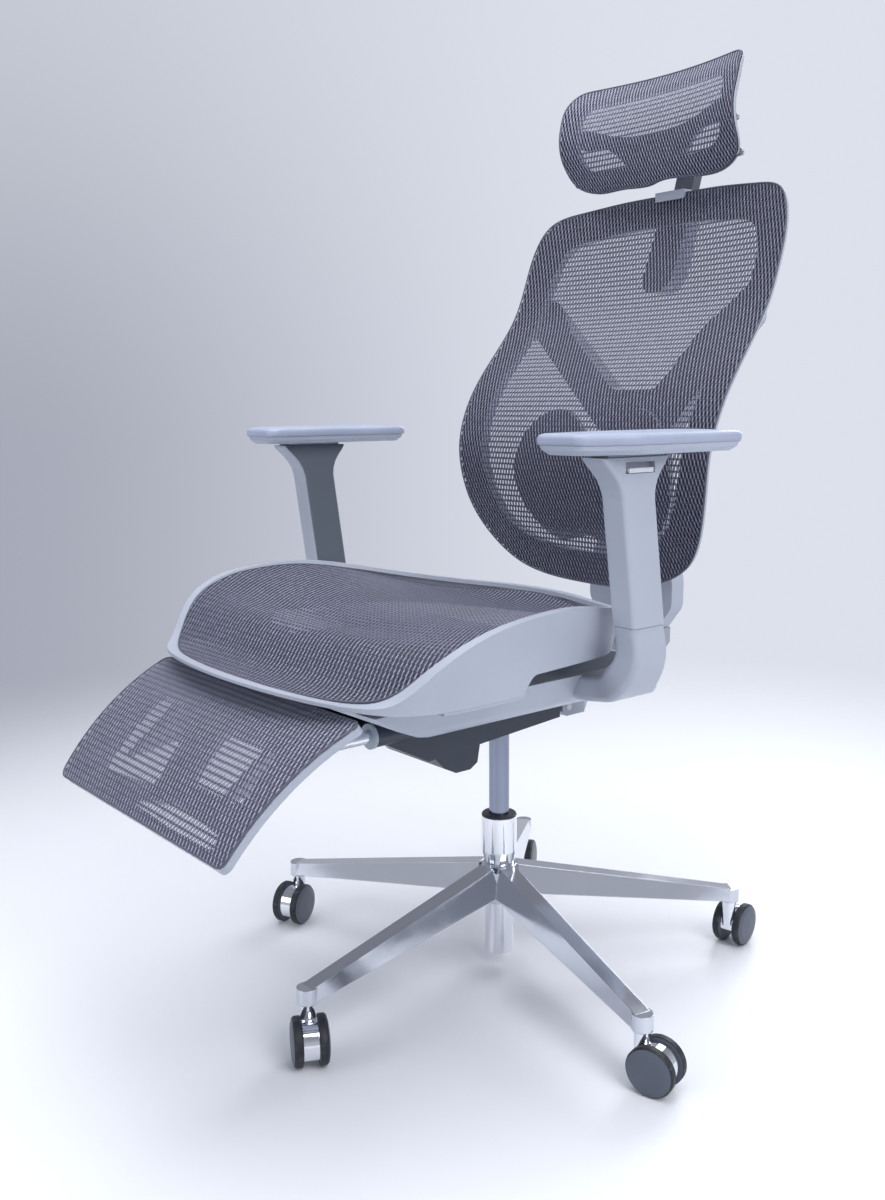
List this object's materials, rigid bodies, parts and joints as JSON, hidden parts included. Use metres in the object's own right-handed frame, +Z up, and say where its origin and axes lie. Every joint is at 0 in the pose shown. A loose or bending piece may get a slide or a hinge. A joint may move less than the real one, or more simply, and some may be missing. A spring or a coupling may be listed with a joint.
{
  "type": "reclining office chair with footrest",
  "caption": "Reclining office chair with see-through mesh seat, back and headrest, lumbar lobes, adjustable arms, a folding footrest on slide rods and a star base on casters.",
  "frame": {"origin": "on the floor under the column's axis", "axes": "+Z up, the chair faces -Y, +X is the sitter's left"},
  "size_m": [0.7361, 0.934, 1.242],
  "materials": {
    "polished_aluminium": "polished",
    "chrome": "mirror",
    "wheel_rubber": "matte, dark tread on grey side discs",
    "black_plastic": "matte",
    "housing_metal": "satin powder coat",
    "bracket_metal": "satin powder coat",
    "steel": "ground",
    "mesh_fabric": "open woven elastic mesh, see-through",
    "pad_foam": "soft touch",
    "button_plastic": "satin",
    "grey_plastic": "satin"
  },
  "bodies": {
    "base": {"star_base": "polished_aluminium", "column_tube": "chrome", "column_bushing": "black_plastic"},
    "piston": {"piston_rod": "chrome", "thrust_bearing": "steel"},
    "chassis": {"gas_cylinder": "chrome", "mechanism_housing": "housing_metal", "mechanism_cover": "black_plastic", "sleeve_rings": "grey_plastic", "carrier_tray": "grey_plastic", "arm_bracket_left": "grey_plastic", "arm_bracket_right": "grey_plastic", "arm_rail_left": "grey_plastic", "arm_rail_right": "grey_plastic", "recline_pin": "steel", "seat_frame": "grey_plastic", "seat_mesh": "mesh_fabric"},
    "backrest": {"back_link": "bracket_metal", "back_support": "grey_plastic", "back_frame": "grey_plastic", "back_mesh": "mesh_fabric", "back_clip": "grey_plastic", "headrest_guide": "grey_plastic"},
    "lumbar": {"lumbar_pad": "grey_plastic", "lumbar_carriage": "grey_plastic"},
    "neck": {"headrest_stem": "grey_plastic"},
    "headrest": {"headrest_frame": "grey_plastic", "headrest_mesh": "mesh_fabric", "headrest_bracket": "grey_plastic", "headrest_pin": "steel"},
    "footrest_slide": {"footrest_rods": "chrome"},
    "footrest": {"footrest_frame": "grey_plastic", "footrest_mesh": "mesh_fabric"},
    "height_handle": {"height_lever": "grey_plastic"},
    "tilt_handle": {"tilt_lever": "grey_plastic"},
    "arm_post_left": {"arm_post_left": "grey_plastic"},
    "arm_button_left": {"arm_button_left": "button_plastic"},
    "arm_carriage_left": {"arm_carriage_left": "grey_plastic"},
    "arm_pad_left": {"arm_pad_shell_left": "grey_plastic", "arm_pad_left": "pad_foam"},
    "arm_post_right": {"arm_post_right": "grey_plastic"},
    "arm_button_right": {"arm_button_right": "button_plastic"},
    "arm_carriage_right": {"arm_carriage_right": "grey_plastic"},
    "arm_pad_right": {"arm_pad_shell_right": "grey_plastic", "arm_pad_right": "pad_foam"},
    "caster_1": {"caster_body_1": "chrome"},
    "wheel_1a": {"caster_wheel_1a": "wheel_rubber"},
    "wheel_1b": {"caster_wheel_1b": "wheel_rubber"},
    "caster_2": {"caster_body_2": "chrome"},
    "wheel_2a": {"caster_wheel_2a": "wheel_rubber"},
    "wheel_2b": {"caster_wheel_2b": "wheel_rubber"},
    "caster_3": {"caster_body_3": "chrome"},
    "wheel_3a": {"caster_wheel_3a": "wheel_rubber"},
    "wheel_3b": {"caster_wheel_3b": "wheel_rubber"},
    "caster_4": {"caster_body_4": "chrome"},
    "wheel_4a": {"caster_wheel_4a": "wheel_rubber"},
    "wheel_4b": {"caster_wheel_4b": "wheel_rubber"},
    "caster_5": {"caster_body_5": "chrome"},
    "wheel_5a": {"caster_wheel_5a": "wheel_rubber"},
    "wheel_5b": {"caster_wheel_5b": "wheel_rubber"}
  },
  "joints": [
    {"name": "swivel", "type": "hinge", "parent": "base", "child": "piston", "pos_m": [0, 0, 0.023], "axis": [0, 0, 1], "continuous": true},
    {"name": "seat_height", "type": "slide", "parent": "piston", "child": "chassis", "axis": [0, 0, 1], "range_m": [-0.09, 0]},
    {"name": "recline", "type": "hinge", "parent": "chassis", "child": "backrest", "pos_m": [0, 0.044, 0.384], "axis": [-1, 0, 0], "range_deg": [0, 24]},
    {"name": "lumbar_height", "type": "slide", "parent": "backrest", "child": "lumbar", "axis": [0, 0, 1], "range_m": [-0.02, 0.02]},
    {"name": "headrest_height", "type": "slide", "parent": "backrest", "child": "neck", "axis": [0, 0.2924, 0.9563], "range_m": [0, 0.06]},
    {"name": "headrest_tilt", "type": "hinge", "parent": "neck", "child": "headrest", "pos_m": [0, 0.38729, 1.13], "axis": [1, 0, 0], "range_deg": [-20, 12]},
    {"name": "footrest_reach", "type": "slide", "parent": "chassis", "child": "footrest_slide", "axis": [0, -1, 0], "range_m": [0, 0.06]},
    {"name": "footrest_fold", "type": "hinge", "parent": "footrest_slide", "child": "footrest", "pos_m": [0, -0.4, 0.405], "axis": [1, 0, 0], "range_deg": [-15, 125]},
    {"name": "height_lever_lift", "type": "hinge", "parent": "chassis", "child": "height_handle", "pos_m": [-0.09, -0.06, 0.384], "axis": [-1, 0, 0], "range_deg": [0, 12], "stiffness_Nm_per_rad": 0.8},
    {"name": "tilt_lever_turn", "type": "hinge", "parent": "chassis", "child": "tilt_handle", "pos_m": [-0.09, -0.15, 0.384], "axis": [-1, 0, 0], "range_deg": [0, 25]},
    {"name": "arm_height_left", "type": "slide", "parent": "chassis", "child": "arm_post_left", "axis": [0, -0.1392, 0.9903], "range_m": [0, 0.07]},
    {"name": "arm_button_left_lift", "type": "slide", "parent": "arm_post_left", "child": "arm_button_left", "axis": [0, 0, 1], "range_m": [0, 0.003], "stiffness_N_per_m": 400},
    {"name": "arm_pad_left_reach", "type": "slide", "parent": "arm_post_left", "child": "arm_carriage_left", "axis": [0, 1, 0], "range_m": [-0.025, 0.025]},
    {"name": "arm_pad_left_turn", "type": "hinge", "parent": "arm_carriage_left", "child": "arm_pad_left", "pos_m": [0.307, -0.09668, 0.7259], "axis": [0, 0, 1], "range_deg": [-15, 15]},
    {"name": "arm_height_right", "type": "slide", "parent": "chassis", "child": "arm_post_right", "axis": [0, -0.1392, 0.9903], "range_m": [0, 0.07]},
    {"name": "arm_button_right_lift", "type": "slide", "parent": "arm_post_right", "child": "arm_button_right", "axis": [0, 0, 1], "range_m": [0, 0.003], "stiffness_N_per_m": 400},
    {"name": "arm_pad_right_reach", "type": "slide", "parent": "arm_post_right", "child": "arm_carriage_right", "axis": [0, 1, 0], "range_m": [-0.025, 0.025]},
    {"name": "arm_pad_right_turn", "type": "hinge", "parent": "arm_carriage_right", "child": "arm_pad_right", "pos_m": [-0.307, -0.09668, 0.7259], "axis": [0, 0, 1], "range_deg": [-15, 15]},
    {"name": "caster_1_swivel", "type": "hinge", "parent": "base", "child": "caster_1", "pos_m": [0.02845, -0.33881, 0.07], "axis": [0, 0, 1], "continuous": true},
    {"name": "wheel_1a_roll", "type": "hinge", "parent": "caster_1", "child": "wheel_1a", "pos_m": [0.04449, -0.34698, 0.03], "axis": [0.454, 0.891, 0], "continuous": true},
    {"name": "wheel_1b_roll", "type": "hinge", "parent": "caster_1", "child": "wheel_1b", "pos_m": [0.04449, -0.34698, 0.03], "axis": [0.454, 0.891, 0], "continuous": true},
    {"name": "caster_2_swivel", "type": "hinge", "parent": "base", "child": "caster_2", "pos_m": [0.33102, -0.07764, 0.07], "axis": [0, 0, 1], "continuous": true},
    {"name": "wheel_2a_roll", "type": "hinge", "parent": "caster_2", "child": "wheel_2a", "pos_m": [0.3484, -0.07298, 0.03], "axis": [-0.2588, 0.9659, 0], "continuous": true},
    {"name": "wheel_2b_roll", "type": "hinge", "parent": "caster_2", "child": "wheel_2b", "pos_m": [0.3484, -0.07298, 0.03], "axis": [-0.2588, 0.9659, 0], "continuous": true},
    {"name": "caster_3_swivel", "type": "hinge", "parent": "base", "child": "caster_3", "pos_m": [0.17613, 0.29082, 0.07], "axis": [0, 0, 1], "continuous": true},
    {"name": "wheel_3a_roll", "type": "hinge", "parent": "caster_3", "child": "wheel_3a", "pos_m": [0.173, 0.30855, 0.03], "axis": [-0.9848, -0.1736, 0], "continuous": true},
    {"name": "wheel_3b_roll", "type": "hinge", "parent": "caster_3", "child": "wheel_3b", "pos_m": [0.173, 0.30855, 0.03], "axis": [-0.9848, -0.1736, 0], "continuous": true},
    {"name": "caster_4_swivel", "type": "hinge", "parent": "base", "child": "caster_4", "pos_m": [-0.22216, 0.25738, 0.07], "axis": [0, 0, 1], "continuous": true},
    {"name": "wheel_4a_roll", "type": "hinge", "parent": "caster_4", "child": "wheel_4a", "pos_m": [-0.21158, 0.24282, 0.03], "axis": [0.809, 0.5878, 0], "continuous": true},
    {"name": "wheel_4b_roll", "type": "hinge", "parent": "caster_4", "child": "wheel_4b", "pos_m": [-0.21158, 0.24282, 0.03], "axis": [0.809, 0.5878, 0], "continuous": true},
    {"name": "caster_5_swivel", "type": "hinge", "parent": "base", "child": "caster_5", "pos_m": [-0.31343, -0.13176, 0.07], "axis": [0, 0, 1], "continuous": true},
    {"name": "wheel_5a_roll", "type": "hinge", "parent": "caster_5", "child": "wheel_5a", "pos_m": [-0.30554, -0.14793, 0.03], "axis": [0.8988, 0.4384, 0], "continuous": true},
    {"name": "wheel_5b_roll", "type": "hinge", "parent": "caster_5", "child": "wheel_5b", "pos_m": [-0.30554, -0.14793, 0.03], "axis": [0.8988, 0.4384, 0], "continuous": true}
  ]
}
